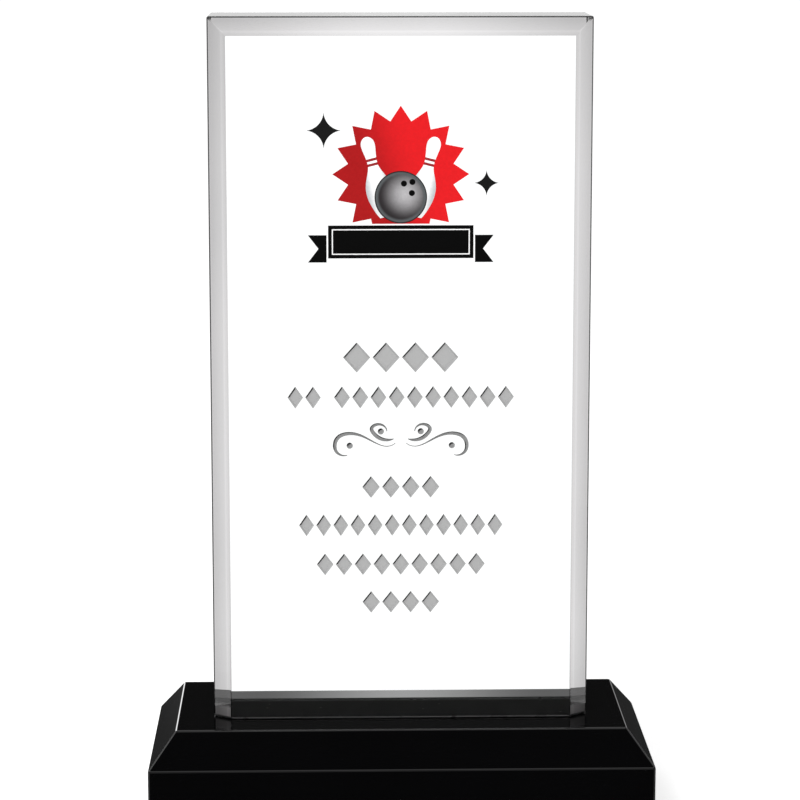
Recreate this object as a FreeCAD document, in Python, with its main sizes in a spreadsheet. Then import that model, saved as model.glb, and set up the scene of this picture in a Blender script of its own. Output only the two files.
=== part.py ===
"""Bowling award: a bevelled clear crystal plaque bonded upright on a black crystal base.

The plaque is a block with a wide mitred bevel round the top and both sides of its front face.
A film of cured ink carries a bowling emblem on that face, and rows of frosted lozenges and a
scroll are engraved below it.  The base is a block whose top is bevelled on all four sides, and
it stands on four self-adhesive feet.  Nothing moves.

Millimetres.  +Z is up, +X is to the right of someone facing the award, and the front faces -Y.
The origin is on the surface that the award stands on, under the middle of the base.
"""

import FreeCAD, Part

import math
import os

import Sketcher
from FreeCAD import Placement, Rotation, Vector

# ---------------------------------------------------------------- driving dimensions
SIZES = [
    ("plaque_width", 95.25, "outer width of the clear block"),
    ("plaque_height", 177.5, "height of the clear block, from its foot"),
    ("plaque_thick", 25.4, "thickness of the clear block"),
    ("bevel_face", 4.5, "front bevel, measured across the face"),
    ("bevel_depth", 3.3, "front bevel, measured through the thickness"),
    ("plaque_arris", 0.5, "polished radius on the edges of the clear block"),
    ("base_width", 127.0, "width of the black base"),
    ("base_depth", 58.0, "depth of the black base, front to back"),
    ("base_height", 25.0, "height of the black base, without its feet"),
    ("slope_run", 6.8, "how far the sloped faces of the base come in"),
    ("slope_rise", 8.6, "how far the sloped faces of the base climb"),
    ("base_arris", 0.9, "polished radius on the edges of the base"),
    ("bond_thick", 0.15, "film of clear adhesive under the plaque"),
    ("bond_inset", 0.6, "how far the adhesive stops short of the plaque's edge"),
    ("foot_radius", 5.0, "radius of a foot where it is widest"),
    ("foot_height", 2.0, "height of a foot"),
    ("foot_taper", 0.6, "how much smaller the radius of a foot is at the floor"),
    ("foot_round", 0.4, "rounding of a foot at the floor"),
    ("foot_inset", 9.0, "foot centre, in from the two nearest sides of the base"),
    ("tape_thick", 0.1, "adhesive disc between a foot and the base"),
    ("tape_radius", 4.7, "radius of that disc"),
    ("ink_thick", 0.05, "thickness of one layer of cured ink"),
    ("seal_level", 138.9, "centre of the emblem above the plaque's foot"),
    ("seal_radius", 13.3, "seal, to the root of its teeth"),
    ("tooth_reach", 3.6, "how far a tooth stands out of the seal"),
    ("pin_tall", 20.4, "height of a printed bowling pin"),
    ("pin_spread", 3.7, "foot of a printed pin, from the middle of the seal"),
    ("pin_drop", 10.6, "foot of a printed pin, below the middle of the seal"),
    ("pin_lean", 14.0, "lean of a printed pin, in degrees"),
    ("ball_radius", 6.5, "printed bowling ball"),
    ("ball_drop", 5.7, "centre of the ball, below the middle of the seal"),
    ("hole_radius", 0.75, "finger hole of the printed ball"),
    ("banner_level", 122.1, "middle of the banner above the plaque's foot"),
    ("banner_width", 46.0, "banner, tip to tip"),
    ("banner_tall", 8.2, "height of the banner's panel"),
    ("panel_width", 36.0, "width of the banner's panel"),
    ("tail_tall", 6.8, "height of the banner's tails"),
    ("tail_drop", 1.7, "how far the tails hang below the panel's middle"),
    ("tail_notch", 2.6, "depth of the notch in the end of each tail"),
    ("keyline", 0.4, "white line left between two colours that meet"),
    ("frame_inset", 0.9, "fine white frame on the banner, in from its edge"),
    ("frame_line", 0.3, "width of that frame"),
    ("engrave_depth", 0.5, "depth of the engraving"),
    ("headline_tall", 7.6, "height of the lozenges of the first engraved row"),
    ("lozenge_tall", 5.6, "height of the lozenges of the other rows"),
    ("lozenge_gap", 0.55, "gap between two lozenges"),
    ("wall_slope", 40.0, "slope of the walls of a lozenge, in degrees off square"),
    ("scroll_level", 71.9, "middle of the engraved scroll above the plaque's foot"),
    ("scroll_stroke", 1.0, "width of a stroke of the scroll where it is widest"),
    ("scroll_dot", 0.78, "radius of a dot of the scroll"),
]

# Each engraved run of lozenges: level above the plaque's foot, left end, right end, how many, height.
RUNS = [
    ("headline", 93.1, -14.4, 14.4, 4, "headline_tall"),
    ("second_short", 83.0, -28.3, -20.0, 2, "lozenge_tall"),
    ("second_long", 83.0, -16.7, 28.3, 10, "lozenge_tall"),
    ("third", 60.1, -9.7, 9.7, 4, "lozenge_tall"),
    ("fourth", 50.3, -25.6, 25.6, 12, "lozenge_tall"),
    ("fifth", 40.2, -21.2, 21.2, 9, "lozenge_tall"),
    ("sixth", 30.4, -9.7, 9.7, 4, "lozenge_tall"),
]

# Right half of the engraved scroll, across and up from its middle: for each stroke the smooth line
# that it follows, where along that line it is widest, and the dot that it curls round.  The left
# half is its mirror image.
SCROLL = [
    (
        [(1.4, -0.6), (3.4, -1.4), (6.4, -0.5), (9.6, 1.2), (13.0, 1.9), (16.0, 0.6), (16.4, -2.2),
         (13.4, -3.6)],
        0.72,
        (12.8, -1.2),
    ),
    (
        [(1.8, 0.5), (4.2, 0.3), (6.5, 1.6), (7.3, 3.2), (5.8, 4.2), (4.0, 3.6), (3.5, 2.4)],
        0.40,
        (5.0, 2.4),
    ),
]
STROKE_END = 0.16  # width of a stroke's ends over its widest
GROOVE_FLOOR = 0.3  # width of a groove's floor over its width at the face
CUTTER_PROUD = 0.1  # the scroll's cutters stand this far out of the face

SEAL_TEETH = 16
TOOTH_ROOT = 0.05  # a tooth reaches this far into the seal's disc
SIDES = (("left", -1), ("right", 1))
HALF_TURN = math.pi

# Standard profile of a tenpin: height and radius, both as shares of the pin's height.
PIN_PROFILE = [
    (0.000, 0.0677),
    (0.050, 0.0943),
    (0.150, 0.1302),
    (0.225, 0.1503),
    (0.300, 0.1585),
    (0.392, 0.1521),
    (0.483, 0.1234),
    (0.575, 0.0824),
    (0.625, 0.0655),
    (0.667, 0.0599),
    (0.725, 0.0623),
    (0.783, 0.0698),
    (0.842, 0.0802),
    (0.900, 0.0849),
    (0.955, 0.0700),
]
PIN_STRIPES = [(0.640, 0.672), (0.700, 0.732)]  # two stripes round the neck, same shares

# Finger holes on the printed ball: across and up from its centre, as shares of its radius.
HOLES = [(0.12, 0.52), (0.44, 0.58), (0.42, 0.16)]

# The two four-pointed sparks: name, across from the middle, up from the seal's centre, half height.
SPARKS = [("left", -19.0, 10.8, 5.0), ("right", 21.2, -2.2, 3.6)]
SPARK_SLIM = 0.85  # half width of a spark over its half height
SPARK_WAIST = 0.30  # how near its sides come to the centre

doc = FreeCAD.newDocument("bowling_award")
sheet = doc.addObject("Spreadsheet::Sheet", "Sizes")
for row, (alias, value, note) in enumerate(SIZES, start=1):
    sheet.set(f"A{row}", alias)
    sheet.set(f"B{row}", str(value))
    sheet.set(f"C{row}", note)
    sheet.setAlias(f"B{row}", alias)
doc.recompute()

# Levels that several pieces share, as expressions of the sheet.
BASE_FLOOR = "Sizes.foot_height + Sizes.tape_thick"
BASE_TOP = BASE_FLOOR + " + Sizes.base_height"
PLAQUE_FOOT = BASE_TOP + " + Sizes.bond_thick"
FRONT = "Sizes.plaque_thick / 2"  # the plaque's front face, forward of the middle
SECOND_INK = FRONT + " + Sizes.ink_thick"  # the back of the coloured layer, on the white one


def size(alias):
    """A driving dimension, for the shapes that are computed here."""
    return float(getattr(sheet, alias))


# ---------------------------------------------------------------- helpers
def new_body(name, level="0"):
    """A body whose sketches are drawn round the point at that level on the award's middle line."""
    body = doc.addObject("PartDesign::Body", name)
    body.Label = name
    body.setExpression("Placement.Base.z", level)
    return body


def new_sketch(body, plane, offset="0"):
    """A sketch on one of the body's own planes, moved along its normal (XZ looks towards -Y)."""
    sketch = body.newObject("Sketcher::SketchObject", body.Name + "_sketch")
    support = [f for f in body.Origin.OriginFeatures if f.Role == plane][0]
    sketch.AttachmentSupport = [(support, "")]
    sketch.MapMode = "FlatFace"
    sketch.setExpression("AttachmentOffset.Base.z", offset)
    return sketch


def fix(sketch, geo, point, across, up):
    """Pins one point of a sketch to a place given by two expressions."""
    for kind, expression in (("DistanceX", across), ("DistanceY", up)):
        index = sketch.addConstraint(Sketcher.Constraint(kind, -1, 1, geo, point, 0.1))
        name = f"{kind.lower()}_{index}"
        sketch.renameConstraint(index, name)
        sketch.setExpression("Constraints." + name, expression)


def polygon(sketch, corners):
    """A closed outline of straight lines through corners given as pairs of expressions."""
    first = len(sketch.Geometry)
    count = len(corners)
    for n in range(count):
        turn = 2 * HALF_TURN * n / count
        after = 2 * HALF_TURN * (n + 1) / count
        start = Vector(math.cos(turn), math.sin(turn), 0)
        end = Vector(math.cos(after), math.sin(after), 0)
        sketch.addGeometry(Part.LineSegment(start, end), False)
    for n in range(count):
        here = first + n
        following = first + (n + 1) % count
        sketch.addConstraint(Sketcher.Constraint("Coincident", here, 2, following, 1))
    for n, (across, up) in enumerate(corners):
        fix(sketch, first + n, 1, across, up)


def rectangle(sketch, left, right, low, high):
    polygon(sketch, [(left, low), (right, low), (right, high), (left, high)])


def circle(sketch, radius, across="0", up="0"):
    """A circle of that radius, all given as expressions."""
    geo = sketch.addGeometry(Part.Circle(Vector(0, 0, 0), Vector(0, 0, 1), 1.0), False)
    index = sketch.addConstraint(Sketcher.Constraint("Radius", geo, 1.0))
    name = f"radius_{index}"
    sketch.renameConstraint(index, name)
    sketch.setExpression("Constraints." + name, radius)
    fix(sketch, geo, 3, across, up)


def pad(body, sketch, length):
    feature = body.newObject("PartDesign::Pad", body.Name + "_pad")
    feature.Profile = sketch
    feature.setExpression("Length", length)
    sketch.Visibility = False
    doc.recompute()
    return feature


def engrave_run(body, name, middle, left, right, count, tall):
    """Cuts one lozenge with sloping walls into the front face, and repeats it to fill the run."""
    wide = f"(({right} - {left} - {count - 1} * Sizes.lozenge_gap) / {count})"
    centre = f"({left} + {wide} / 2)"
    half_tall = f"Sizes.{tall} / 2"
    outline = new_sketch(body, "XZ_Plane", FRONT)
    corners = [
        (f"{left}", f"{middle}"),
        (centre, f"{middle} - {half_tall}"),
        (f"{left} + {wide}", f"{middle}"),
        (centre, f"{middle} + {half_tall}"),
    ]
    polygon(outline, corners)

    before = body.Shape.Volume
    cut_one = body.newObject("PartDesign::Pocket", name + "_lozenge")
    cut_one.Profile = outline
    cut_one.setExpression("Length", "Sizes.engrave_depth")
    cut_one.setExpression("TaperAngle", "-Sizes.wall_slope")
    doc.recompute()
    taken = before - body.Shape.Volume
    run = body.newObject("PartDesign::LinearPattern", name + "_run")
    run.Originals = [cut_one]
    run.Direction = (outline, ["H_Axis"])
    run.Mode = "Spacing"
    run.setExpression("Offset", f"{wide} + Sizes.lozenge_gap")
    run.Occurrences = count
    body.Tip = run
    doc.recompute()
    taken_by_all = before - body.Shape.Volume
    if taken <= 0 or abs(taken_by_all - count * taken) > 0.01 * taken_by_all:
        raise RuntimeError(f"the {name} run took {taken_by_all:.3f}, and one lozenge {taken:.3f}")


def loft(body, low, high):
    feature = body.newObject("PartDesign::AdditiveLoft", body.Name + "_loft")
    feature.Profile = low
    feature.Sections = [high]
    feature.Ruled = True
    doc.recompute()
    return feature


def round_edges(body, radius, wanted):
    """Fillets the edges that wanted(edge) picks, to a radius given as an expression."""
    tip = body.Tip
    names = [f"Edge{n}" for n, edge in enumerate(tip.Shape.Edges, start=1) if wanted(edge)]
    feature = body.newObject("PartDesign::Fillet", body.Name + "_arris")
    feature.Base = (tip, names)
    feature.setExpression("Radius", radius)
    doc.recompute()
    return feature


def shape_feature(name, shape, place):
    """A plain feature for a shape that is computed here."""
    feature = doc.addObject("Part::Feature", name)
    feature.Label = name
    feature.Shape = shape
    feature.Placement = place
    return feature


def cut(name, base, tool):
    feature = doc.addObject("Part::Cut", name)
    feature.Label = name
    feature.Base = base
    feature.Tool = tool
    doc.recompute()
    return feature


def gather(kind, name, members):
    """A Part::MultiFuse or Part::Compound of several objects."""
    feature = doc.addObject(kind, name)
    feature.Label = name
    if kind == "Part::Compound":
        feature.Links = members
    else:
        feature.Shapes = members
    doc.recompute()
    return feature


def stand_up(level, forward, across=0.0):
    """Stands a face drawn on XY up at that level, forward of the plaque's front by that much."""
    aliases = ("foot_height", "tape_thick", "base_height", "bond_thick")
    foot = sum(size(alias) for alias in aliases)
    at = Vector(across, -(size("plaque_thick") / 2 + forward), foot + level)
    return Placement(at, Rotation(Vector(1, 0, 0), 90))


# ---------------------------------------------------------------- black base
def make_base():
    """A block with a smaller top: four sloped faces, mitred at the corners, every edge rounded."""
    body = new_body("black_base", BASE_FLOOR)
    half_wide, half_deep = "Sizes.base_width / 2", "Sizes.base_depth / 2"
    shoulder = "Sizes.base_height - Sizes.slope_rise"

    outline = new_sketch(body, "XY_Plane")
    rectangle(outline, "-" + half_wide, half_wide, "-" + half_deep, half_deep)
    pad(body, outline, shoulder)

    low = new_sketch(body, "XY_Plane", shoulder)
    rectangle(low, "-" + half_wide, half_wide, "-" + half_deep, half_deep)
    high = new_sketch(body, "XY_Plane", "Sizes.base_height")
    top_wide = f"({half_wide} - Sizes.slope_run)"
    top_deep = f"({half_deep} - Sizes.slope_run)"
    rectangle(high, "-" + top_wide, top_wide, "-" + top_deep, top_deep)
    loft(body, low, high)
    round_edges(body, "Sizes.base_arris", lambda edge: True)
    return body


# ---------------------------------------------------------------- clear plaque
def stroke_outline(points, widest, swell, level):
    """A closed outline at that level round the smooth line through points.

    It is slender at both ends and widest at swell, a share of the way along.
    """
    centre_line = Part.BSplineCurve()
    centre_line.interpolate([Vector(*point, 0) for point in points])
    first, last = centre_line.FirstParameter, centre_line.LastParameter
    bend = math.log(0.5) / math.log(swell)
    samples = 2 * len(points) + 1
    sides = ([], [])
    for n in range(samples):
        share = n / (samples - 1)
        at = first + (last - first) * share
        along = centre_line.tangent(at)[0]
        across = Vector(-along.y, along.x, 0).normalize()
        half = widest / 2 * (STROKE_END + (1 - STROKE_END) * math.sin(HALF_TURN * share**bend))
        middle = centre_line.value(at) + Vector(0, 0, level)
        sides[0].append(middle + across * half)
        sides[1].append(middle - across * half)
    edges = []
    for side in sides:
        curve = Part.BSplineCurve()
        curve.interpolate(side)
        edges.append(curve.toShape())
    for end in (0, -1):
        edges.append(Part.LineSegment(sides[0][end], sides[1][end]).toShape())
    return Part.Wire(Part.__sortEdges__(edges))


def make_scroll_cutter():
    """Solids with sloping walls that cut the scroll: two strokes and two dots on each side."""
    depth = size("engrave_depth")
    top = depth + CUTTER_PROUD
    top_share = GROOVE_FLOOR + (1 - GROOVE_FLOOR) * top / depth
    widest = size("scroll_stroke")
    dot_radius = size("scroll_dot")
    half = []
    for points, swell, dot in SCROLL:
        floor = stroke_outline(points, widest * GROOVE_FLOOR, swell, 0)
        rim = stroke_outline(points, widest * top_share, swell, top)
        half.append(Part.makeLoft([floor, rim], True, True))
        radii = (dot_radius * GROOVE_FLOOR, dot_radius * top_share)
        half.append(Part.makeCone(*radii, top, Vector(*dot, 0)))
    other_half = [solid.mirror(Vector(0, 0, 0), Vector(1, 0, 0)) for solid in half]
    # The solids are drawn upwards from XY; standing them up turns them towards -Y.
    place = stand_up(size("scroll_level"), -depth)
    return shape_feature("scroll_cutter", Part.makeCompound(half + other_half), place)


def make_plaque():
    """The clear block: a mitred bevel round three sides of its front face, and the engraving."""
    body = new_body("plaque_block", PLAQUE_FOOT)
    half_wide = "Sizes.plaque_width / 2"
    rim = "(Sizes.plaque_thick / 2 - Sizes.bevel_depth)"

    back = new_sketch(body, "XZ_Plane", "-Sizes.plaque_thick / 2")
    rectangle(back, "-" + half_wide, half_wide, "0", "Sizes.plaque_height")
    pad(body, back, "Sizes.plaque_thick - Sizes.bevel_depth")

    outer = new_sketch(body, "XZ_Plane", rim)
    rectangle(outer, "-" + half_wide, half_wide, "0", "Sizes.plaque_height")
    inner = new_sketch(body, "XZ_Plane", FRONT)
    face_half = f"({half_wide} - Sizes.bevel_face)"
    face_top = "Sizes.plaque_height - Sizes.bevel_face"
    rectangle(inner, "-" + face_half, face_half, "0", face_top)
    loft(body, outer, inner)

    round_edges(body, "Sizes.plaque_arris", lambda edge: True)

    for run in RUNS:
        engrave_run(body, *run)

    return cut("crystal_plaque", body, make_scroll_cutter())


# ---------------------------------------------------------------- adhesive and feet
def make_bond():
    """The thin film of clear adhesive between the plaque's foot and the top of the base."""
    body = new_body("adhesive_film", BASE_TOP)
    half_wide = "(Sizes.plaque_width / 2 - Sizes.bond_inset)"
    half_deep = "(Sizes.plaque_thick / 2 - Sizes.bond_inset)"
    bevel_front = f"({half_deep} - Sizes.bevel_depth)"
    bevel_side = f"({half_wide} - Sizes.bevel_face)"
    outline = new_sketch(body, "XY_Plane")
    corners = [
        ("-" + bevel_side, "-" + half_deep),
        (bevel_side, "-" + half_deep),
        (half_wide, "-" + bevel_front),
        (half_wide, half_deep),
        ("-" + half_wide, half_deep),
        ("-" + half_wide, "-" + bevel_front),
    ]
    polygon(outline, corners)
    pad(body, outline, "Sizes.bond_thick")
    return body


def is_low_rim(edge):
    """Whether an edge of a foot is the circle where its side meets the floor."""
    return edge.Closed and edge.BoundBox.Center.z < size("foot_height") / 2


def make_feet():
    """Four moulded feet and the adhesive disc on each, named by where they are."""
    made = []
    for depth_name, toward in (("front", "-"), ("rear", "")):
        for side_name, aside in (("left", "-"), ("right", "")):
            where = f"{depth_name}_{side_name}"
            across = f"{aside}(Sizes.base_width / 2 - Sizes.foot_inset)"
            deep = f"{toward}(Sizes.base_depth / 2 - Sizes.foot_inset)"

            foot = new_body("foot_" + where)
            profile = new_sketch(foot, "XZ_Plane")
            small = "Sizes.foot_radius - Sizes.foot_taper"
            corners = [
                ("0", "0"),
                (small, "0"),
                ("Sizes.foot_radius", "Sizes.foot_height"),
                ("0", "Sizes.foot_height"),
            ]
            polygon(profile, corners)
            turned = foot.newObject("PartDesign::Revolution", foot.Name + "_turned")
            turned.Profile = profile
            turned.ReferenceAxis = (profile, ["V_Axis"])
            turned.Angle = 360
            doc.recompute()
            round_edges(foot, "Sizes.foot_round", is_low_rim)

            tape = new_body("foot_tape_" + where, "Sizes.foot_height")
            disc = new_sketch(tape, "XY_Plane")
            circle(disc, "Sizes.tape_radius")
            pad(tape, disc, "Sizes.tape_thick")

            for body in (foot, tape):
                body.setExpression("Placement.Base.x", across)
                body.setExpression("Placement.Base.y", deep)
                made.append(body)
    doc.recompute()
    return made


# ---------------------------------------------------------------- printed emblem
def seal_body(name, offset, thick):
    """A round seal with pointed teeth, one tooth repeated round a disc."""
    body = new_body(name, f"{PLAQUE_FOOT} + Sizes.seal_level")
    disc = new_sketch(body, "XZ_Plane", offset)
    circle(disc, "Sizes.seal_radius")
    pad(body, disc, thick)

    tooth = new_sketch(body, "XZ_Plane", offset)
    pitch = 2 * HALF_TURN / SEAL_TEETH
    root = f"(Sizes.seal_radius * {math.cos(pitch / 2):.6f} - {TOOTH_ROOT})"
    half_root = f"Sizes.seal_radius * {math.sin(pitch / 2):.6f}"
    tip = "Sizes.seal_radius + Sizes.tooth_reach"
    polygon(tooth, [("-" + half_root, root), (half_root, root), ("0", tip)])
    one = pad(body, tooth, thick)

    teeth = body.newObject("PartDesign::PolarPattern", name + "_teeth")
    teeth.Originals = [one]
    teeth.Axis = (tooth, ["N_Axis"])
    teeth.Angle = 360
    teeth.Occurrences = SEAL_TEETH
    body.Tip = teeth
    doc.recompute()
    return body


def banner_panel(name, offset, thick, grow="0"):
    """The flat middle of the ribbon, made larger all round by grow."""
    body = new_body(name, f"{PLAQUE_FOOT} + Sizes.banner_level")
    half_wide = f"(Sizes.panel_width / 2 + {grow})"
    half_tall = f"(Sizes.banner_tall / 2 + {grow})"
    outline = new_sketch(body, "XZ_Plane", offset)
    rectangle(outline, "-" + half_wide, half_wide, "-" + half_tall, half_tall)
    pad(body, outline, thick)
    return body


def banner_tail(name, offset, thick, side, gap):
    """One notched end of the ribbon, gap away from the panel; side is -1 or 1."""
    body = new_body(name, f"{PLAQUE_FOOT} + Sizes.banner_level - Sizes.tail_drop")
    half_tall = "Sizes.tail_tall / 2"
    inner = f"{side} * (Sizes.panel_width / 2 + {gap})"
    outer = f"{side} * Sizes.banner_width / 2"
    notch = f"{side} * (Sizes.banner_width / 2 - Sizes.tail_notch)"
    outline = new_sketch(body, "XZ_Plane", offset)
    corners = [
        (inner, "-" + half_tall),
        (outer, "-" + half_tall),
        (notch, "0"),
        (outer, half_tall),
        (inner, half_tall),
    ]
    polygon(outline, corners)
    pad(body, outline, thick)
    return body


def spark_body(name, offset, thick, across, up, tall):
    """A four-pointed spark, its sides drawn in towards the centre as arcs."""
    body = new_body(name, f"{PLAQUE_FOOT} + Sizes.seal_level + {up}")
    body.Placement.Base.x = across
    wide = tall * SPARK_SLIM
    tips = [(0, tall), (wide, 0), (0, -tall), (-wide, 0)]
    outline = new_sketch(body, "XZ_Plane", offset)
    for n in range(4):
        here, following = tips[n], tips[(n + 1) % 4]
        waist = [(here[k] + following[k]) * SPARK_WAIST for k in (0, 1)]
        corners = [Vector(*point, 0) for point in (here, waist, following)]
        outline.addGeometry(Part.Arc(*corners), False)
    for n in range(4):
        outline.addConstraint(Sketcher.Constraint("Block", n))
    pad(body, outline, thick)
    return body


def pin_outline(grow_to):
    """A bowling pin standing on the origin of XY, grow_to tall."""
    right = [Vector(radius * grow_to, height * grow_to, 0) for height, radius in PIN_PROFILE]
    left = [Vector(-point.x, point.y, 0) for point in reversed(right)]
    crown = Vector(0, grow_to, 0)
    flank = Part.BSplineCurve()
    flank.interpolate(right + [crown] + left)
    foot = Part.LineSegment(left[-1], right[0])
    return Part.Face(Part.Wire([flank.toShape(), foot.toShape()]))


def lean_pin(face, side):
    """Moves a pin drawn on the origin to its place beside the middle of the seal."""
    moved = face.copy()
    moved.rotate(Vector(0, 0, 0), Vector(0, 0, 1), -side * size("pin_lean"))
    moved.translate(Vector(side * size("pin_spread"), -size("pin_drop"), 0))
    return moved


def make_print():
    """The emblem: a white layer on the glass, and the coloured layer on that, one node an area."""
    thick = "Sizes.ink_thick"
    ink = size("ink_thick")
    seal_level = size("seal_level")

    # White layer under everything.
    whites = [seal_body("white_seal", FRONT, thick), banner_panel("white_panel", FRONT, thick)]
    for side_name, side in SIDES:
        whites.append(banner_tail("white_tail_" + side_name, FRONT, thick, side, "0"))
    for side, across, up, tall in SPARKS:
        whites.append(spark_body("white_spark_" + side, FRONT, thick, across, up, tall))
    white = gather("Part::MultiFuse", "print_white_layer", whites)

    # Ball and its finger holes.
    ball_level = f"{PLAQUE_FOOT} + Sizes.seal_level - Sizes.ball_drop"
    ball_disc = new_body("ball_disc", ball_level)
    disc = new_sketch(ball_disc, "XZ_Plane", SECOND_INK)
    circle(disc, "Sizes.ball_radius")
    pad(ball_disc, disc, thick)
    holes = new_body("hole_discs", ball_level)
    holes.AllowCompound = True
    spots = new_sketch(holes, "XZ_Plane", SECOND_INK)
    for across, up in HOLES:
        centre = (f"Sizes.ball_radius * {across}", f"Sizes.ball_radius * {up}")
        circle(spots, "Sizes.hole_radius", *centre)
    pad(holes, spots, thick)
    holes.Label = "print_finger_holes"
    ball = cut("print_ball", ball_disc, holes)

    # Two pins leaning apart, with two stripes on each neck.
    tall = size("pin_tall")
    plain = pin_outline(tall)
    stripes = []
    for low, high in PIN_STRIPES:
        band = Part.makePlane(tall, (high - low) * tall, Vector(-tall / 2, low * tall, 0))
        stripes.append(plain.common(band).Faces[0])
    up_ink = Vector(0, 0, ink)
    pins, bands = [], []
    for _, side in SIDES:
        pins.append(lean_pin(plain, side).extrude(up_ink))
        bands.extend(lean_pin(stripe, side).extrude(up_ink) for stripe in stripes)
    place = stand_up(seal_level, ink)
    both_pins = shape_feature("both_pins", Part.makeCompound(pins), place)
    neck_bands = shape_feature("print_pin_bands", Part.makeCompound(bands), place)
    front_of_pins = gather("Part::Compound", "front_of_pins", [ball_disc, neck_bands])
    pins_left = cut("print_pins", both_pins, front_of_pins)

    # Red seal, with the pins, the ball and the banner left open.
    red_seal = seal_body("red_seal", SECOND_INK, thick)
    clearance = banner_panel("banner_clearance", SECOND_INK, thick, "Sizes.keyline")
    open_areas = gather("Part::MultiFuse", "seal_openings", [both_pins, ball_disc, clearance])
    seal = cut("print_red_seal", red_seal, open_areas)

    # Black banner with a fine frame left open on its panel, and its two tails.
    black_panel = banner_panel("black_panel", SECOND_INK, thick)
    frame_body = new_body("banner_frame", f"{PLAQUE_FOOT} + Sizes.banner_level")
    frame = new_sketch(frame_body, "XZ_Plane", SECOND_INK)
    for inset in ("Sizes.frame_inset", "(Sizes.frame_inset + Sizes.frame_line)"):
        wide = f"(Sizes.panel_width / 2 - {inset})"
        high = f"(Sizes.banner_tall / 2 - {inset})"
        rectangle(frame, "-" + wide, wide, "-" + high, high)
    pad(frame_body, frame, thick)
    panel = cut("framed_panel", black_panel, frame_body)
    tails = []
    for side_name, side in SIDES:
        name = "black_tail_" + side_name
        tails.append(banner_tail(name, SECOND_INK, thick, side, "Sizes.keyline"))
    banner = gather("Part::Compound", "print_banner", [panel] + tails)

    sparks = []
    for side, across, up, spark_tall in SPARKS:
        name = "print_spark_" + side
        sparks.append(spark_body(name, SECOND_INK, thick, across, up, spark_tall))
    return [white, ball, holes, pins_left, neck_bands, seal, banner] + sparks


# ---------------------------------------------------------------- build, check and write
def check_all():
    """Stops if any object failed without raising."""
    for item in doc.Objects:
        if "Invalid" in item.State or "Error" in item.State:
            raise RuntimeError(f"{item.Name} failed: {item.State}")


def write(nodes):
    """Writes each node's solids to parts/NODE.step."""
    os.makedirs("parts", exist_ok=True)
    for node in nodes:
        shape = node.Shape
        if shape.isNull() or not shape.isValid() or not shape.Solids:
            raise RuntimeError(f"{node.Label} has no valid solid")
        shape.exportStep(os.path.join("parts", node.Label + ".step"))
        box = shape.BoundBox
        extent = f"{box.XLength:.2f} x {box.YLength:.2f} x {box.ZLength:.2f}"
        print(f"{node.Label}: {len(shape.Solids)} solid(s), {shape.Volume:.2f} mm3, {extent}")


nodes = [make_base(), make_plaque(), make_bond()]
nodes += make_feet()
nodes += make_print()
doc.recompute()
check_all()
write(nodes)
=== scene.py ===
"""Looks for the bowling award: polished clear crystal, black crystal, cured ink and rubber feet.

Metres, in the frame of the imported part: +Z up, the front faces -Y.
"""

import math

import bpy
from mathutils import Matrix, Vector


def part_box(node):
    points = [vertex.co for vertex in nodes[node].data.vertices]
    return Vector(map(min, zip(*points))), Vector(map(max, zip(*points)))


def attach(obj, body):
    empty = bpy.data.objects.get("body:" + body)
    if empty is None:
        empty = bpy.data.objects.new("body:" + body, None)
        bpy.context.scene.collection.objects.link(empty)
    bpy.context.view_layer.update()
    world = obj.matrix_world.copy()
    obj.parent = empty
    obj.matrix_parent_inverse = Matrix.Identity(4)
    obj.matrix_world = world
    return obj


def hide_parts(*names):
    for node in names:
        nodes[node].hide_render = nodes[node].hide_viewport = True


MM = 0.001

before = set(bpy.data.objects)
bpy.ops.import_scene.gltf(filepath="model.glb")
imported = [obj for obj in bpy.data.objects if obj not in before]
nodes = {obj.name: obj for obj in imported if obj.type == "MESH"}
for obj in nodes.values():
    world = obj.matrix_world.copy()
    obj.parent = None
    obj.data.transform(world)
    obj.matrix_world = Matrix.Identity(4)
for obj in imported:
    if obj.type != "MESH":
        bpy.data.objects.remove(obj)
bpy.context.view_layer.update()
plaque_low, plaque_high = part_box("crystal_plaque")
_, base_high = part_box("black_base")
_, film_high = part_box("adhesive_film")
seal_low, seal_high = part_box("print_red_seal")
ball_low, ball_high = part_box("print_ball")

SEAL_CENTRE = Vector((0, seal_low.y, seal_high.z - (seal_high.x - seal_low.x) / 2))
BALL_CENTRE = (ball_low + ball_high) / 2
BALL_RADIUS = (ball_high.x - ball_low.x) / 2

# ---------------------------------------------------------------- camera
CAMERA_PLACE = Vector((-17.5 * MM, -700 * MM, base_high.z + 208.2 * MM))
CAMERA_PITCH = math.radians(9.465)  # looking down
CAMERA_YAW = math.radians(1.442)  # turned to the right
CAMERA_SENSOR = 36.0
CAMERA_LENS = 125.79  # on that sensor
CAMERA_SHIFT = -0.055  # keeps the uprights nearly parallel
CAMERA_CLIPS = (0.01, 20.0)


def make_camera():
    """In front of the trophy, a little to its left and above it."""
    data = bpy.data.cameras.new("camera")
    data.lens = CAMERA_LENS
    data.sensor_width = CAMERA_SENSOR
    data.shift_y = CAMERA_SHIFT
    data.clip_start, data.clip_end = CAMERA_CLIPS
    camera = bpy.data.objects.new("camera", data)
    camera.location = CAMERA_PLACE
    camera.rotation_euler = (math.pi / 2 - CAMERA_PITCH, 0, -CAMERA_YAW)
    bpy.context.scene.collection.objects.link(camera)
    bpy.context.scene.camera = camera


# ---------------------------------------------------------------- textures
# How many features of each texture fit in a metre.
POLISH_WAVES = 60.0
TINT_CLOUDS = 25.0
CREEP_PATCHES = 200.0
FROST_GRAINS = 9000.0
BLACK_DUST = 900.0
BLACK_CLOUDS = 30.0
BLACK_WAVES = 50.0
BUBBLES = 220.0
RUBBER_PEBBLES = 4000.0
FOAM_CELLS = 6000.0
INK_PEEL = 1600.0


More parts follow.
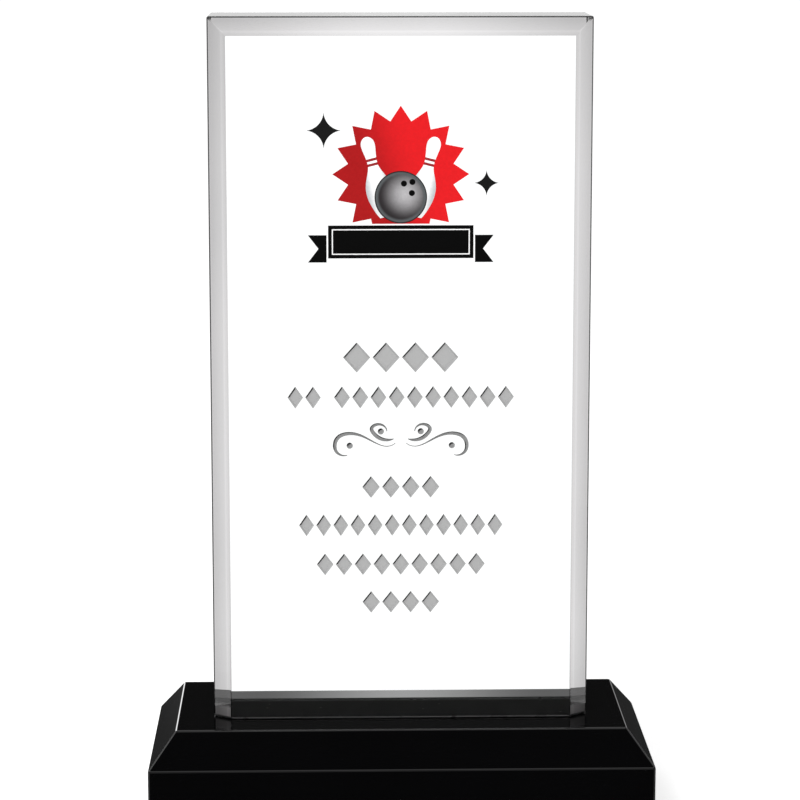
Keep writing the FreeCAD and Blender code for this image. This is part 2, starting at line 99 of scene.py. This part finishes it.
# ---------------------------------------------------------------- node helpers
class Tree:
    """A node tree with short ways to add nodes."""

    def __init__(self, tree):
        self.tree = tree
        self.tree.nodes.clear()

    def node(self, kind, **settings):
        made = self.tree.nodes.new(kind)
        for name, value in settings.items():
            setattr(made, name, value)
        return made

    def link(self, source, target):
        self.tree.links.new(source, target)

    def feed(self, socket, value):
        """Links a socket, or sets its value."""
        if isinstance(value, bpy.types.NodeSocket):
            self.link(value, socket)
        else:
            socket.default_value = value

    def math(self, operation, first, second=0.0):
        made = self.node("ShaderNodeMath", operation=operation)
        self.feed(made.inputs[0], first)
        self.feed(made.inputs[1], second)
        return made.outputs[0]

    def ramp(self, value, low, high, to_low=0.0, to_high=1.0):
        """Maps value smoothly from low..high to to_low..to_high, held at both ends."""
        made = self.node("ShaderNodeMapRange", interpolation_type="SMOOTHSTEP")
        for name, setting in zip(
            ("Value", "From Min", "From Max", "To Min", "To Max"),
            (value, low, high, to_low, to_high),
        ):
            self.feed(made.inputs[name], setting)
        return made.outputs["Result"]

    def curve(self, value, stops):
        """A grey level read off straight lines between stops, each a value and its level."""
        first, last = stops[0][0], stops[-1][0]
        share = self.node("ShaderNodeMapRange")
        self.feed(share.inputs["Value"], value)
        share.inputs["From Min"].default_value = first
        share.inputs["From Max"].default_value = last
        ramp = self.node("ShaderNodeValToRGB")
        self.link(share.outputs["Result"], ramp.inputs["Fac"])
        points = ramp.color_ramp.elements
        while len(points) < len(stops):
            points.new(0.5)
        for point, (at, level) in zip(points, stops):
            point.position = (at - first) / (last - first)
            point.color = (level, level, level, 1)
        return ramp.outputs["Color"]

    def mix(self, share, first, second):
        """Between two numbers."""
        made = self.node("ShaderNodeMix", data_type="FLOAT")
        self.feed(made.inputs["Factor"], share)
        self.feed(made.inputs["A"], first)
        self.feed(made.inputs["B"], second)
        return made.outputs["Result"]

    def mix_colour(self, share, first, second, blend="MIX"):
        made = self.node("ShaderNodeMix", data_type="RGBA", blend_type=blend)
        self.feed(made.inputs["Factor"], share)
        self.feed(made.inputs["A"], first)
        self.feed(made.inputs["B"], second)
        return made.outputs["Result"]

    def place(self):
        """Where a point lies in the part's frame, as a vector and its three numbers."""
        coordinates = self.node("ShaderNodeTexCoord").outputs["Object"]
        split = self.node("ShaderNodeSeparateXYZ")
        self.link(coordinates, split.inputs[0])
        return coordinates, split.outputs["X"], split.outputs["Y"], split.outputs["Z"]

    def noise(self, vector, scale, detail=2.0, roughness=0.5):
        made = self.node("ShaderNodeTexNoise")
        self.feed(made.inputs["Vector"], vector)
        made.inputs["Scale"].default_value = scale
        made.inputs["Detail"].default_value = detail
        made.inputs["Roughness"].default_value = roughness
        return made.outputs["Fac"]

    def distance(self, vector, point):
        made = self.node("ShaderNodeVectorMath", operation="DISTANCE")
        self.feed(made.inputs[0], vector)
        self.feed(made.inputs[1], point)
        return made.outputs["Value"]

    def along(self, vector, direction):
        """How far a vector points in a direction."""
        made = self.node("ShaderNodeVectorMath", operation="DOT_PRODUCT")
        self.feed(made.inputs[0], vector)
        self.feed(made.inputs[1], direction)
        return made.outputs["Value"]

    def bump(self, height, strength, distance):
        made = self.node("ShaderNodeBump")
        self.feed(made.inputs["Height"], height)
        made.inputs["Strength"].default_value = strength
        made.inputs["Distance"].default_value = distance
        return made.outputs["Normal"]


def rgb(red, green=None, blue=None):
    """A colour, or a grey, given as it looks on a screen, 0 to 255, as a linear one."""

    def linear(level):
        share = level / 255
        return share / 12.92 if share <= 0.04045 else ((share + 0.055) / 1.055) ** 2.4

    if green is None:
        green = blue = red
    return (linear(red), linear(green), linear(blue), 1.0)


def new_material(name):
    """A material with one Principled shader, its tree and that shader."""
    material = bpy.data.materials.new(name)
    material.use_nodes = True
    tree = Tree(material.node_tree)
    shader = tree.node("ShaderNodeBsdfPrincipled")
    output = tree.node("ShaderNodeOutputMaterial")
    tree.link(shader.outputs["BSDF"], output.inputs["Surface"])
    return material, tree, shader


# ---------------------------------------------------------------- clear crystal
CRYSTAL_IOR = 1.52
BEVEL_WIDE = 4.5 * MM
EDGE_RADIUS = 0.5 * MM  # of the rounded edge all round the plaque

# How much light the bevels and the polished edges let through, from the outer edge inwards: painted
# shade, a grey put into their colour for the dark that light bent inside the crystal gives them.
BEVEL_PAINTED_SHADE = [
    (0.0 * MM, 0.02),
    (0.32 * MM, 0.02),
    (0.42 * MM, 0.35),
    (0.7 * MM, 0.30),
    (3.2 * MM, 0.41),
    (3.6 * MM, 0.50),
    (4.0 * MM, 0.45),
    (4.5 * MM, 0.42),
]
# Painted shade on the polished edges, darkest at the outer edge.
ARRIS_PAINTED_SHADE = [
    (0.0 * MM, 0.002),
    (0.6 * MM, 0.002),
    (1.2 * MM, 0.30),
    (3.6 * MM, 0.52),
    (4.0 * MM, 0.42),
    (4.5 * MM, 0.40),
]

# The share of that painted shade at heights up the plaque, darker towards the foot and the top, and
# over the middle of the top bevel.
HEIGHT_PAINTED_SHADE = [
    (plaque_low.z, 0.52),
    (plaque_low.z + 25 * MM, 0.82),
    (plaque_low.z + 60 * MM, 0.95),
    (plaque_low.z + 140 * MM, 0.98),
    (plaque_high.z, 0.69),
]
# Painted highlight: how much paler the middle of the top bevel is.
TOP_MIDDLE_PAINTED_LIGHT = 1.85
TOP_MIDDLE_HALF = 5 * MM  # half the length over which it stays at that
# Painted shade over the upper end of the left bevel.
LEFT_TOP_PAINTED_SHADE = 0.82  # over the upper end of the left bevel
LEFT_TOP_HEIGHTS = (plaque_low.z + 95 * MM, plaque_low.z + 135 * MM)
BEVEL_HUE = (1.0, 0.965, 0.98, 1.0)  # a trace of warmth in their grey
HAZE_HEIGHTS = (plaque_low.z + 2.4 * MM, plaque_low.z + 4.4 * MM)
HAZE_CLEARNESS = 0.45  # how clear a bevel is below those heights; above them it is quite clear

# Painted shade: walls of the engraving that face this way get a dark colour, as if lit from the
# upper left.
PAINTED_SHADE_WALL = Vector((0.55, 0.0, -0.83))  # walls of the engraving that face this way are shaded
# The scroll's band, where painted shade makes the frosted floor darker as well.
SCROLL_LEVEL = plaque_low.z + 71.9 * MM
SCROLL_TALL = 11 * MM  # of the band that holds the scroll and nothing else


def polished_crystal(name):
    """A clear piece with the faint unevenness that hand polishing leaves; its tint is set later."""
    material, tree, shader = new_material(name)
    shader.inputs["Roughness"].default_value = 0.0
    shader.inputs["IOR"].default_value = CRYSTAL_IOR
    shader.inputs["Transmission Weight"].default_value = 1.0
    vector, across, _, up = tree.place()
    waves = tree.noise(vector, POLISH_WAVES, detail=1.0)
    tree.link(tree.bump(waves, strength=0.02, distance=0.2 * MM), shader.inputs["Normal"])
    return material, tree, shader, (vector, across, up)


def clear_faces(name, dull, bright):
    """Flat polished faces, whose faint tint varies a little from place to place."""
    material, tree, shader, (vector, _, _) = polished_crystal(name)
    cloud = tree.noise(vector, TINT_CLOUDS)
    tree.link(tree.mix_colour(cloud, dull, bright), shader.inputs["Base Color"])
    return material


def painted_rim_light_and_shade(tree, across, up, tones):
    """The painted shade, read off inwards from the nearest of the sides and the top of the plaque.

    It darkens towards the foot, the top corners and the upper end of the left bevel, and a painted
    highlight makes it paler over the middle of the top.
    """
    aside = tree.math("ABSOLUTE", across)
    from_side = tree.math("SUBTRACT", plaque_high.x, aside)
    from_top = tree.math("SUBTRACT", plaque_high.z, up)
    tone = tree.curve(tree.math("MINIMUM", from_side, from_top), tones)
    climb = tree.curve(up, HEIGHT_PAINTED_SHADE)
    middle = tree.ramp(aside, TOP_MIDDLE_HALF, plaque_high.x, TOP_MIDDLE_PAINTED_LIGHT, 1.0)
    on_left = tree.math("LESS_THAN", across, 0.0)
    beside = tree.mix(on_left, 1.0, tree.ramp(up, *LEFT_TOP_HEIGHTS, 1.0, LEFT_TOP_PAINTED_SHADE))
    on_top = tree.math("LESS_THAN", from_top, from_side)
    place = tree.math("MULTIPLY", climb, tree.mix(on_top, beside, middle))
    # Painted shade and painted highlight, multiplied into the crystal's colour.
    grey = tree.mix_colour(1.0, tone, place, "MULTIPLY")
    return tree.mix_colour(1.0, grey, BEVEL_HUE, "MULTIPLY")


def bevel_faces():
    """The bevels: painted shade makes them greyer towards their outer edge; they are hazed by
    adhesive round the foot.
    """
    material, tree, shader, (_, across, up) = polished_crystal("crystal_bevel")
    # Painted shade in the bevels' colour.
    tree.link(painted_rim_light_and_shade(tree, across, up, BEVEL_PAINTED_SHADE), shader.inputs["Base Color"])
    clear = tree.ramp(up, *HAZE_HEIGHTS, HAZE_CLEARNESS, 1.0)
    tree.link(clear, shader.inputs["Transmission Weight"])
    return material


def arris_faces():
    """The narrow polished edges: painted shade darkens the outer ones, where light bent far inside
    the crystal would make them look dark.
    """
    material, tree, shader, (_, across, up) = polished_crystal("crystal_arris")
    # Painted shade in the edges' colour.
    tree.link(painted_rim_light_and_shade(tree, across, up, ARRIS_PAINTED_SHADE), shader.inputs["Base Color"])
    return material


def glued_edge():
    """The rounded edge round the foot, wetted by dark adhesive that creeps up it."""
    material, tree, shader = new_material("crystal_foot_edge")
    vector, _, _, _ = tree.place()
    creep = tree.noise(vector, CREEP_PATCHES)
    tree.link(tree.mix_colour(creep, rgb(40), rgb(66)), shader.inputs["Base Color"])
    rough = tree.ramp(creep, 0.3, 0.7, to_low=0.25, to_high=0.45)
    tree.link(rough, shader.inputs["Roughness"])
    return material


def frosted_faces():
    """The engraving: a fine matt grain, with painted shade on its upper and left walls and over the
    scroll.
    """
    material, tree, shader = new_material("crystal_frosted")
    vector, _, _, up = tree.place()
    grain = tree.noise(vector, FROST_GRAINS, detail=3.0, roughness=0.6)
    from_scroll = tree.math("ABSOLUTE", tree.math("SUBTRACT", up, SCROLL_LEVEL))
    in_scroll = tree.math("LESS_THAN", from_scroll, SCROLL_TALL / 2)
    row = tree.mix_colour(grain, rgb(138), rgb(174))
    # Painted shade: the scroll's thin strokes get a darker frost.
    scroll = tree.mix_colour(grain, rgb(112), rgb(142))
    floor = tree.mix_colour(in_scroll, row, scroll)
    normal = tree.node("ShaderNodeTexCoord").outputs["Normal"]
    # Painted shade on the walls that face down and to the right.
    shade = tree.ramp(tree.along(normal, PAINTED_SHADE_WALL), 0.05, 0.42)
    tree.link(tree.mix_colour(shade, floor, rgb(10)), shader.inputs["Base Color"])
    shader.inputs["Roughness"].default_value = 0.55
    shader.inputs["IOR"].default_value = CRYSTAL_IOR
    shader.inputs["Transmission Weight"].default_value = 0.35
    tree.link(tree.bump(grain, strength=0.4, distance=0.03 * MM), shader.inputs["Normal"])
    return material


INK_SINK = 0.02 * MM  # the glass stands this far into the ink, so that no two faces coincide
BOND_SINK = 0.05 * MM  # and this far into the adhesive
NEAR = 0.001 * MM  # closer than this is the same place
FACE, SIDE, BEVEL, ARRIS, FROST, GLUED = range(6)
BEVEL_SLANT = -0.80  # forward part of the normal of every bevel
SQUARE = 0.9999  # a normal's part in the direction that a flat face looks, at least
SLACK = 0.01  # how far the parts of a bevel's normal may be off
RIM = 1.3 * BEVEL_WIDE  # takes in the bevels and their edges


def finish_of(polygon):
    """Which of the finishes a face of the plaque has, from where it is and how it lies."""
    centre = polygon.center
    normal = polygon.normal
    inside = abs(centre.x) < plaque_high.x - RIM and centre.z < plaque_high.z - RIM
    if inside and centre.z > plaque_low.z + RIM:
        recessed = plaque_low.y + NEAR < centre.y < 0.5 * plaque_low.y
        return FROST if recessed else FACE
    if abs(normal.y) > SQUARE:
        return FACE
    if max(abs(normal.x), abs(normal.z)) > SQUARE:
        return SIDE
    if abs(normal.y - BEVEL_SLANT) < SLACK and min(abs(normal.x), abs(normal.z)) < SLACK:
        return BEVEL
    return GLUED if centre.z < plaque_low.z + EDGE_RADIUS else ARRIS


def make_plaque():
    """A copy of the plaque's own mesh, with a finish of its own for each kind of face."""
    mesh = nodes["crystal_plaque"].data.copy()
    mesh.name = "plaque_glass"
    mesh.materials.clear()
    finishes = (
        clear_faces("crystal_face", dull=rgb(252, 254, 254), bright=rgb(255)),
        clear_faces("crystal_side", dull=rgb(232, 238, 236), bright=rgb(240, 245, 243)),
        bevel_faces(),
        arris_faces(),
        frosted_faces(),
        glued_edge(),
    )
    for material in finishes:
        mesh.materials.append(material)
    for polygon in mesh.polygons:
        polygon.material_index = finish_of(polygon)
    for vertex in mesh.vertices:
        if abs(vertex.co.y - plaque_low.y) < NEAR:
            vertex.co.y -= INK_SINK
        if abs(vertex.co.z - plaque_low.z) < NEAR:
            vertex.co.z -= BOND_SINK
    plaque = bpy.data.objects.new("plaque_glass", mesh)
    bpy.context.scene.collection.objects.link(plaque)
    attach(plaque, "root")
    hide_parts("crystal_plaque")


# ---------------------------------------------------------------- black crystal, adhesive and feet
DEEP_BLACK = (0.0008, 0.0008, 0.0010, 1)
PALE_BLACK = (0.0016, 0.0016, 0.0018, 1)
ADHESIVE_RIM = 2.5 * MM  # how far in from its edge the adhesive is paler


def black_crystal():
    """Polished black crystal, with a trace of dust and of the polisher's waves."""
    material, tree, shader = new_material("black_crystal")
    vector, _, _, _ = tree.place()
    dust = tree.noise(vector, BLACK_DUST, detail=4.0, roughness=0.7)
    rough = tree.ramp(dust, 0.45, 0.75, to_low=0.02, to_high=0.06)
    tree.link(rough, shader.inputs["Roughness"])
    cloud = tree.noise(vector, BLACK_CLOUDS)
    tree.link(tree.mix_colour(cloud, DEEP_BLACK, PALE_BLACK), shader.inputs["Base Color"])
    shader.inputs["IOR"].default_value = CRYSTAL_IOR
    waves = tree.noise(vector, BLACK_WAVES, detail=1.0)
    tree.link(tree.bump(waves, strength=0.02, distance=0.2 * MM), shader.inputs["Normal"])
    return material


def adhesive():
    """Clear adhesive over black crystal: dark, with small trapped bubbles and a paler rim."""
    material, tree, shader = new_material("cured_adhesive")
    vector, across, along, _ = tree.place()
    from_side = tree.math("SUBTRACT", film_high.x, tree.math("ABSOLUTE", across))
    from_end = tree.math("SUBTRACT", film_high.y, tree.math("ABSOLUTE", along))
    inwards = tree.math("MINIMUM", from_side, from_end)
    rim = tree.ramp(inwards, 0.0, ADHESIVE_RIM, 1.0, 0.0)
    cells = tree.node("ShaderNodeTexVoronoi")
    tree.link(vector, cells.inputs["Vector"])
    cells.inputs["Scale"].default_value = BUBBLES
    bubbles = tree.ramp(cells.outputs["Distance"], 0.04, 0.10, 1.0, 0.0)
    dark = tree.mix_colour(rim, rgb(54), rgb(72))
    tree.link(tree.mix_colour(bubbles, dark, rgb(92)), shader.inputs["Base Color"])
    shader.inputs["Roughness"].default_value = 0.6
    shader.inputs["Specular IOR Level"].default_value = 0.0
    return material


def foot_rubber():
    """Moulded rubber: fine pebbled skin, a little worn where it meets the shelf."""
    material, tree, shader = new_material("foot_rubber")
    vector, _, _, up = tree.place()
    pebbles = tree.noise(vector, RUBBER_PEBBLES, detail=3.0, roughness=0.6)
    wear = tree.ramp(up, 0.1 * MM, 0.7 * MM, 1.0, 0.0)
    worn = tree.math("MULTIPLY", wear, pebbles)
    tree.link(tree.mix_colour(worn, rgb(30), rgb(72, 70, 68)), shader.inputs["Base Color"])
    rough = tree.ramp(pebbles, 0.3, 0.7, to_low=0.55, to_high=0.75)
    tree.link(rough, shader.inputs["Roughness"])
    tree.link(tree.bump(pebbles, strength=0.5, distance=0.05 * MM), shader.inputs["Normal"])
    return material


def adhesive_tape():
    """Acrylic foam tape: off-white, with open cells along its cut edge."""
    material, tree, shader = new_material("adhesive_tape")
    vector, _, _, _ = tree.place()
    cells = tree.noise(vector, FOAM_CELLS, detail=4.0, roughness=0.7)
    foam = tree.mix_colour(cells, rgb(196, 193, 184), rgb(226, 224, 216))
    tree.link(foam, shader.inputs["Base Color"])
    shader.inputs["Roughness"].default_value = 0.7
    tree.link(tree.bump(cells, strength=0.4, distance=0.03 * MM), shader.inputs["Normal"])
    return material


# ---------------------------------------------------------------- inks
def new_ink(name):
    """Cured ink: a fine orange-peel skin with a soft gloss."""
    material, tree, shader = new_material(name)
    vector, across, _, up = tree.place()
    peel = tree.noise(vector, INK_PEEL, detail=3.0, roughness=0.6)
    rough = tree.ramp(peel, 0.3, 0.7, to_low=0.36, to_high=0.48)
    tree.link(rough, shader.inputs["Roughness"])
    tree.link(tree.bump(peel, strength=0.25, distance=0.02 * MM), shader.inputs["Normal"])
    shader.inputs["Specular IOR Level"].default_value = 0.2
    return material, tree, shader, (vector, across, up, peel)


THIN_INK = 0.93  # the share of its brightness that ink keeps where it lies thinner
PEEL_RANGE = (0.35, 0.65)


def mottled(tree, peel, colour):
    """The colour, a few percent darker where the ink lies thinner."""
    thin = tuple(THIN_INK * part for part in colour[:3]) + (1.0,)
    return tree.mix_colour(tree.ramp(peel, *PEEL_RANGE), thin, colour)


def plain_ink(name, colour):
    """One colour all over, apart from its mottle."""
    material, tree, shader, (_, _, _, peel) = new_ink(name)
    tree.link(mottled(tree, peel, colour), shader.inputs["Base Color"])
    return material


SEAL_SLANT = 0.35  # how much the height counts against the place across


def seal_ink():
    """Red that deepens towards the lower left."""
    material, tree, shader, (_, across, up, peel) = new_ink("red_ink")
    slant = tree.math("ADD", across, tree.math("MULTIPLY", up, SEAL_SLANT))
    middle = SEAL_CENTRE.x + SEAL_SLANT * SEAL_CENTRE.z
    turn = tree.math("SUBTRACT", slant, middle)
    share = tree.ramp(turn, -9 * MM, 6 * MM)
    deep = mottled(tree, peel, rgb(166, 8, 12))
    bright = mottled(tree, peel, rgb(220, 14, 22))
    tree.link(tree.mix_colour(share, deep, bright), shader.inputs["Base Color"])
    return material


PIN_FOOT = Vector((3.7 * MM, 0, -10.6 * MM))  # of the right pin, from the middle of the seal
PIN_LEAN = math.radians(14.0)
PIN_SHADE = (0.6 * MM, 3.2 * MM)  # where the grey begins and is full, from the pin's axis
PIN_FOOT_SHADE = 9 * MM  # how far up from the foot it is grey too


def pin_ink():
    """White pins, shaded grey towards both edges and the foot; the left one mirrors the right."""
    material, tree, shader, (_, across, up, peel) = new_ink("pin_ink")
    beside = tree.math("SUBTRACT", tree.math("ABSOLUTE", across), PIN_FOOT.x)
    above = tree.math("SUBTRACT", up, SEAL_CENTRE.z + PIN_FOOT.z)
    off_axis = tree.math(
        "SUBTRACT",
        tree.math("MULTIPLY", beside, math.cos(PIN_LEAN)),
        tree.math("MULTIPLY", above, math.sin(PIN_LEAN)),
    )
    edge = tree.ramp(tree.math("ABSOLUTE", off_axis), *PIN_SHADE)
    foot = tree.ramp(above, PIN_FOOT_SHADE, 0.0, to_low=0.0, to_high=0.5)
    shade = tree.math("MAXIMUM", edge, foot)
    white = mottled(tree, peel, rgb(252))
    grey = mottled(tree, peel, rgb(186, 189, 192))
    tree.link(tree.mix_colour(shade, white, grey), shader.inputs["Base Color"])
    return material


def ball_ink():
    """The ball printed as a shaded sphere: a soft highlight, a dark rim and a thin rim light."""
    material, tree, shader, (vector, _, _, peel) = new_ink("ball_ink")
    glow = BALL_CENTRE + Vector((0.18, 0, 0.12)) * BALL_RADIUS
    from_glow = tree.distance(vector, glow)
    dim = tree.ramp(from_glow, 0.0, BALL_RADIUS)
    body = tree.mix_colour(dim, rgb(176, 174, 176), rgb(46, 42, 44))
    from_centre = tree.distance(vector, BALL_CENTRE)
    inner = tree.ramp(from_centre, 0.80 * BALL_RADIUS, 0.92 * BALL_RADIUS)
    outer = tree.ramp(from_centre, 0.93 * BALL_RADIUS, 0.99 * BALL_RADIUS)
    lit = tree.mix_colour(inner, body, rgb(84, 88, 90))
    colour = tree.mix_colour(outer, lit, rgb(20, 18, 19))
    thin = tree.ramp(peel, *PEEL_RANGE, THIN_INK, 1.0)
    tree.link(tree.mix_colour(1.0, colour, thin, "MULTIPLY"), shader.inputs["Base Color"])
    return material


def paint(material, *names):
    """Gives these CAD nodes the material."""
    for name in names:
        nodes[name].data.materials[0] = material


def paint_all():
    """Gives every CAD node that stays its material."""
    paint(black_crystal(), "black_base")
    paint(adhesive(), "adhesive_film")
    paint(foot_rubber(), *[name for name in nodes if name.startswith(("foot_front", "foot_rear"))])
    paint(adhesive_tape(), *[name for name in nodes if name.startswith("foot_tape")])
    paint(plain_ink("white_ink", rgb(250)), "print_white_layer")
    paint(seal_ink(), "print_red_seal")
    paint(pin_ink(), "print_pins")
    paint(plain_ink("band_ink", rgb(150, 36, 38)), "print_pin_bands")
    paint(ball_ink(), "print_ball")
    paint(plain_ink("black_ink", rgb(22)), "print_spark_left", "print_spark_right")
    paint(plain_ink("deep_black_ink", rgb(3)), "print_banner", "print_finger_holes")


# ---------------------------------------------------------------- studio
WHITE_LEVEL = 1.06  # backdrop, as the camera sees it
FILL_LEVEL = 0.58  # the same backdrop as a light
THROUGH_LEVEL = 1.16  # and seen through the crystal, which takes a little of it
THROUGH_FADE = (0.05, 0.6)  # the heights over which that falls to half
BEHIND_LEVELS = (1.6, 0.55)  # and mirrored by what stands behind the crystal: middle, and aside
BEHIND_MIDDLE = 0.025  # where that middle is, towards the right
BEHIND_WIDTH = 0.052  # how far from there it has fallen to its level aside

# The backdrop as polished surfaces mirror it: a height (-1 below, 1 overhead) and its level.
MIRRORED = [
    (-1.00, 0.08),
    (-0.45, 0.016),
    (-0.24, 0.016),
    (-0.12, 0.04),
    (-0.04, 0.40),
    (0.02, 0.85),
    (0.08, 0.85),
    (0.15, 0.024),
    (0.34, 0.016),
    (0.40, 0.64),
    (0.76, 0.80),
    (0.82, 0.024),
    (0.93, 0.024),
    (0.96, 0.80),
    (1.00, 0.80),
]

# The backdrop as it leaves the crystal again after mirroring inside it, likewise.
INSIDE = [
    (-1.00, 0.60),
    (-0.40, 0.80),
    (-0.10, 0.70),
    (0.08, 0.65),
    (0.15, 0.03),
    (0.40, 0.03),
    (0.60, 0.50),
    (1.00, 0.90),
]

# Soft boxes for polished edges to catch: where each is, how wide (degrees), and its level.
SOFT_BOXES = [
    ((-0.25, 0.96, 0.12), 7.0, 2.8),
    ((-0.80, 0.20, 0.57), 15.0, 3.2),
    ((-0.905, -0.21, -0.37), 9.0, 1.5),
    ((0.905, -0.21, -0.37), 9.0, 1.5),
]
SOFT_CORE = 0.6  # the share of each that is at its full level

BOUNCES = 24
ONCE, TWICE = 0.5, 1.5  # a count of bounces above this


def make_world():
    """A white backdrop, whose level depends on how a ray of light reached it."""
    world = bpy.data.worlds.new("studio")
    bpy.context.scene.world = world
    world.use_nodes = True
    world.cycles.sampling_method = "NONE"
    tree = Tree(world.node_tree)
    direction = tree.node("ShaderNodeTexCoord").outputs["Generated"]
    split = tree.node("ShaderNodeSeparateXYZ")
    tree.link(direction, split.inputs[0])
    height = split.outputs["Z"]

    through = tree.ramp(height, *THROUGH_FADE, THROUGH_LEVEL, 0.5 * THROUGH_LEVEL)
    mirrored = tree.curve(height, MIRRORED)
    for place, wide, level in SOFT_BOXES:
        towards = tree.along(direction, Vector(place).normalized())
        rim = math.cos(math.radians(wide))
        core = math.cos(math.radians(SOFT_CORE * wide))
        box = tree.ramp(towards, rim, core, 0.0, level)
        mirrored = tree.math("ADD", mirrored, box)

    aside = tree.math("ABSOLUTE", tree.math("SUBTRACT", split.outputs["X"], BEHIND_MIDDLE))
    behind = tree.ramp(aside, 0.0, BEHIND_WIDTH, *BEHIND_LEVELS)

    rays = tree.node("ShaderNodeLightPath").outputs
    has_crossed = tree.math("GREATER_THAN", rays["Transmission Depth"], ONCE)
    has_crossed_twice = tree.math("GREATER_THAN", rays["Transmission Depth"], TWICE)
    has_mirrored = tree.math("GREATER_THAN", rays["Glossy Depth"], ONCE)
    crossed_last = rays["Is Transmission Ray"]

    direct = tree.mix(rays["Is Camera Ray"], FILL_LEVEL, WHITE_LEVEL)
    clear = tree.mix(has_crossed, direct, through)
    bounced = tree.mix(has_crossed_twice, mirrored, behind)
    bounced = tree.mix(crossed_last, bounced, tree.curve(height, INSIDE))
    seen = tree.mix(has_mirrored, clear, bounced)
    background = tree.node("ShaderNodeBackground")
    background.inputs["Color"].default_value = (1, 1, 1, 1)
    tree.link(seen, background.inputs["Strength"])
    output = tree.node("ShaderNodeOutputWorld")
    tree.link(background.outputs[0], output.inputs["Surface"])


FLOOR_RADIUS = 3.0
FLOOR_GLOW = 0.55
LAMP_PLACE = Vector((-0.75, -0.85, 1.15))
LAMP_AIM = Vector((0, 0, 0.1))
LAMP_SIZE = 0.7
LAMP_WATTS = 14.0


def make_floor():
    """A pale floor that glows a little, and that the crystal neither mirrors nor shows through."""
    bpy.ops.mesh.primitive_circle_add(vertices=96, radius=FLOOR_RADIUS, fill_type="NGON")
    floor = bpy.context.object
    floor.name = "studio_floor"
    material, tree, shader = new_material("pale_floor")
    shader.inputs["Base Color"].default_value = (0.85, 0.85, 0.85, 1)
    shader.inputs["Roughness"].default_value = 0.9
    shader.inputs["Specular IOR Level"].default_value = 0.0
    shader.inputs["Emission Color"].default_value = (1, 1, 1, 1)
    shader.inputs["Emission Strength"].default_value = FLOOR_GLOW
    floor.data.materials.append(material)
    floor.visible_glossy = False
    floor.visible_transmission = False


def make_key_light():
    """One large soft lamp, up on the left in front, which shades the engraving."""
    data = bpy.data.lights.new("key_light", "AREA")
    data.shape = "SQUARE"
    data.size = LAMP_SIZE
    data.energy = LAMP_WATTS
    lamp = bpy.data.objects.new("key_light", data)
    lamp.location = LAMP_PLACE
    aim = LAMP_AIM - LAMP_PLACE
    lamp.rotation_euler = aim.to_track_quat("-Z", "Y").to_euler()
    lamp.visible_glossy = False
    lamp.visible_transmission = False
    bpy.context.scene.collection.objects.link(lamp)


make_camera()
make_plaque()
paint_all()
make_world()
make_floor()
make_key_light()
scene = bpy.context.scene
scene.view_settings.view_transform = "Standard"
# Light mirrors many times inside the crystal before it finds its way out.
scene.cycles.max_bounces = BOUNCES
scene.cycles.glossy_bounces = BOUNCES
scene.cycles.transmission_bounces = BOUNCES
